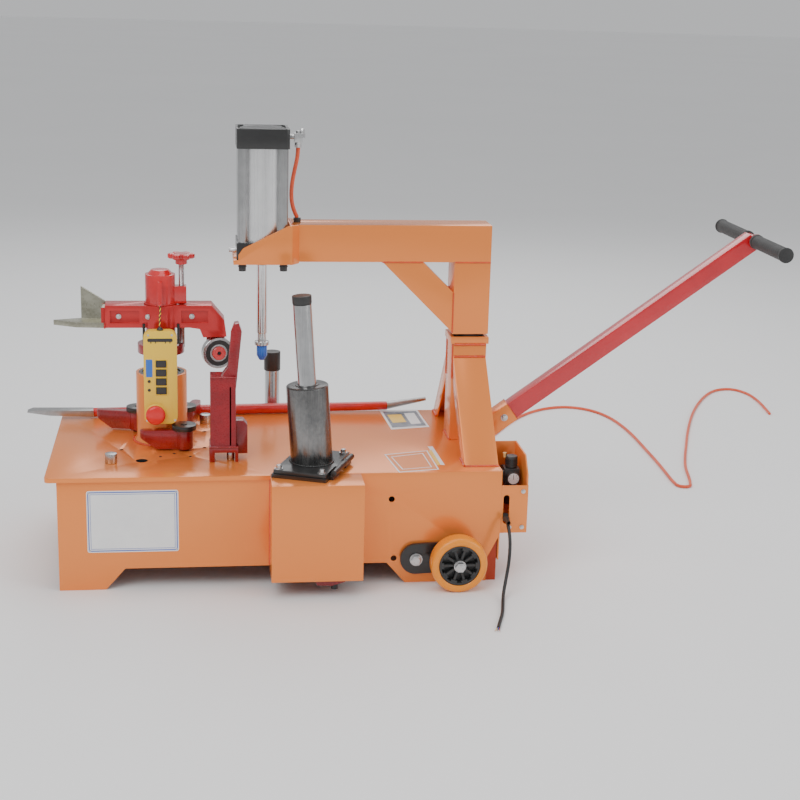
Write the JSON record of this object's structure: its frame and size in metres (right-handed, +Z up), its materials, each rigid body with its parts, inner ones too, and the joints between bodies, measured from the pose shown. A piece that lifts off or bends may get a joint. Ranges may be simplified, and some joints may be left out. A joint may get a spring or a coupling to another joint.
{
  "type": "tire changer machine",
  "caption": "Floor-standing tire changer with a low cabinet, turning tool head on a post, swinging press arm with air cylinder, lifting rams, wheels and a push handle.",
  "frame": {"origin": "on the floor at the middle of the machine's box, its free cord and hose left out", "axes": "+X from the tool head end to the handle end, +Y from the front, where the box and remote are, to the back, +Z up"},
  "size_m": [2.6649, 2.291, 1.165],
  "materials": {
    "orange_paint": "gloss",
    "red_paint": "gloss",
    "steel": "satin",
    "bronze": "satin",
    "cast_grey": "matte",
    "alloy": "satin",
    "black_plastic": "satin",
    "black_alloy": "satin",
    "black_steel": "satin",
    "tread": "satin",
    "yellow_plastic": "satin",
    "red_plastic": "gloss",
    "blue_plastic": "gloss",
    "black_cord": "matte",
    "orange_hose": "satin"
  },
  "bodies": {
    "base": {"cabinet_skirt": "orange_paint", "table_plate": "orange_paint", "inner_frame": "steel", "front_box": "orange_paint", "rear_tray": "orange_paint", "post_tube": "orange_paint", "bearings_and_bushes": "bronze", "column_tube": "orange_paint", "column_legs": "orange_paint", "handle_socket": "orange_paint", "rim_pins": "steel", "gearbox_case": "cast_grey", "drive_motor": "cast_grey", "power_pack": "cast_grey", "regulator_housing": "orange_paint", "air_regulator": "alloy", "lifter_base": "black_steel", "rear_barrel": "steel", "base_fittings": "steel", "power_cord": "black_cord", "air_hose": "orange_hose"},
    "spindle": {"spindle_shaft": "red_paint"},
    "tool_arm": {"tool_hub": "red_paint", "tool_beam": "red_paint", "mount_shoe": "steel", "roller_axle": "steel"},
    "roller": {"roller_ring": "steel"},
    "screw": {"height_screw": "steel"},
    "claw_f": {"claw_front": "red_paint"},
    "claw_l": {"claw_left": "red_paint"},
    "claw_r": {"claw_right": "red_paint"},
    "press_arm": {"arm_frame": "orange_paint", "swivel_shaft": "steel", "cylinder_barrel": "alloy", "cylinder_caps": "black_alloy", "air_fittings": "alloy", "press_hose": "orange_hose"},
    "press_ram": {"press_rod": "steel", "press_tip": "blue_plastic"},
    "front_lifter": {"lifter_plate": "black_steel", "lifter_barrel": "steel"},
    "front_ram": {"lifter_rod_front": "steel"},
    "rear_ram": {"lifter_rod_rear": "steel"},
    "link_f": {"wheel_link_front": "black_steel"},
    "link_r": {"wheel_link_rear": "black_steel"},
    "wheel_f": {"wheel_tread_front": "tread", "wheel_core_front": "black_plastic"},
    "wheel_r": {"wheel_tread_rear": "tread", "wheel_core_rear": "black_plastic"},
    "remote": {"remote_case": "yellow_plastic", "remote_lanyard": "black_cord"},
    "button_1": {"remote_button_1": "black_plastic"},
    "button_2": {"remote_button_2": "black_plastic"},
    "button_3": {"remote_button_3": "black_plastic"},
    "button_4": {"remote_button_4": "black_plastic"},
    "stop_button": {"remote_stop": "red_plastic"},
    "pry": {"pry_bar": "steel"},
    "horn": {"horn_stop": "red_paint"},
    "handle": {"handle_bar": "red_paint"},
    "air_knob": {"regulator_knob": "black_plastic"}
  },
  "joints": [
    {"name": "spindle_spin", "type": "hinge", "parent": "base", "child": "spindle", "pos_m": [-0.64271, 0.009, 0.4], "axis": [0, 0, 1], "range_deg": [-165, 115]},
    {"name": "screw_turn", "type": "hinge", "parent": "spindle", "child": "screw", "pos_m": [-0.58571, 0.009, 0.7], "axis": [0, 0, -1], "range_deg": [0, 2250]},
    {"name": "arm_height", "type": "slide", "parent": "spindle", "child": "tool_arm", "axis": [0, 0, 1], "range_m": [0, 0.025]},
    {"name": "roller_spin", "type": "hinge", "parent": "tool_arm", "child": "roller", "pos_m": [-0.48966, -0.00326, 0.555], "axis": [0.2419, -0.9703, 0], "continuous": true},
    {"name": "claw_front_swing", "type": "hinge", "parent": "base", "child": "claw_f", "pos_m": [-0.58171, -0.097, 0.33], "axis": [0, 0, 1], "range_deg": [-8, 60]},
    {"name": "claw_left_swing", "type": "hinge", "parent": "base", "child": "claw_l", "pos_m": [-0.71071, 0.094, 0.33], "axis": [0, 0, 1], "range_deg": [-35, 60]},
    {"name": "claw_right_swing", "type": "hinge", "parent": "base", "child": "claw_r", "pos_m": [-0.58171, 0.099, 0.33], "axis": [0, 0, 1], "range_deg": [0, 60]},
    {"name": "press_arm_swing", "type": "hinge", "parent": "base", "child": "press_arm", "pos_m": [0.20229, 0.009, 0.7], "axis": [0, 0, 1], "range_deg": [-100, 24]},
    {"name": "press_rod_stroke", "type": "slide", "parent": "press_arm", "child": "press_ram", "axis": [0, 0, 1], "range_m": [0, 0.2]},
    {"name": "lifter_tilt", "type": "hinge", "parent": "base", "child": "front_lifter", "pos_m": [-0.20219, -0.38738, 0.325], "axis": [0.3778, 0.9259, 0], "range_deg": [0, 35]},
    {"name": "front_ram_lift", "type": "slide", "parent": "front_lifter", "child": "front_ram", "axis": [-0.0698, 0, 0.9976], "range_m": [-0.13, 0.02]},
    {"name": "rear_ram_lift", "type": "slide", "parent": "base", "child": "rear_ram", "axis": [0, 0, 1], "range_m": [-0.12, 0.02]},
    {"name": "wheel_link_f", "type": "hinge", "parent": "base", "child": "link_f", "pos_m": [0.02429, -0.339, 0.07], "axis": [0, -1, 0], "range_deg": [0, 60]},
    {"name": "wheel_spin_f", "type": "hinge", "parent": "link_f", "child": "wheel_f", "pos_m": [0.13029, -0.392, 0.075], "axis": [0, 1, 0], "continuous": true},
    {"name": "wheel_link_r", "type": "hinge", "parent": "base", "child": "link_r", "pos_m": [0.02429, 0.286, 0.07], "axis": [0, -1, 0], "range_deg": [0, 60]},
    {"name": "wheel_spin_r", "type": "hinge", "parent": "link_r", "child": "wheel_r", "pos_m": [0.13029, 0.339, 0.075], "axis": [0, 1, 0], "continuous": true},
    {"name": "remote_swing", "type": "hinge", "parent": "tool_arm", "child": "remote", "pos_m": [-0.64271, -0.0525, 0.699], "axis": [0, 1, 0], "range_deg": [-20, 20]},
    {"name": "button_1_press", "type": "slide", "parent": "remote", "child": "button_1", "axis": [0, 1, 0], "range_m": [0, 0.003], "stiffness_N_per_m": 400},
    {"name": "button_2_press", "type": "slide", "parent": "remote", "child": "button_2", "axis": [0, 1, 0], "range_m": [0, 0.003], "stiffness_N_per_m": 400},
    {"name": "button_3_press", "type": "slide", "parent": "remote", "child": "button_3", "axis": [0, 1, 0], "range_m": [0, 0.003], "stiffness_N_per_m": 400},
    {"name": "button_4_press", "type": "slide", "parent": "remote", "child": "button_4", "axis": [0, 1, 0], "range_m": [0, 0.003], "stiffness_N_per_m": 400},
    {"name": "stop_press", "type": "slide", "parent": "remote", "child": "stop_button", "axis": [0, 1, 0], "range_m": [0, 0.005], "stiffness_N_per_m": 600},
    {"name": "pry_bar_lift", "type": "slide", "parent": "base", "child": "pry", "axis": [0, 0, 1], "range_m": [0, 0.1]},
    {"name": "horn_lift", "type": "slide", "parent": "base", "child": "horn", "axis": [0, 0, 1], "range_m": [0, 0.1]},
    {"name": "handle_pull", "type": "slide", "parent": "base", "child": "handle", "axis": [0.809, 0, 0.5878], "range_m": [0, 0.06]},
    {"name": "air_knob_turn", "type": "hinge", "parent": "base", "child": "air_knob", "pos_m": [0.29029, -0.247, 0.3], "axis": [0, 0, 1], "range_deg": [-150, 150]}
  ],
  "couplings": [
    {"joint": "screw_turn", "follows": "arm_height", "rad_per_m": 1570.8}
  ]
}
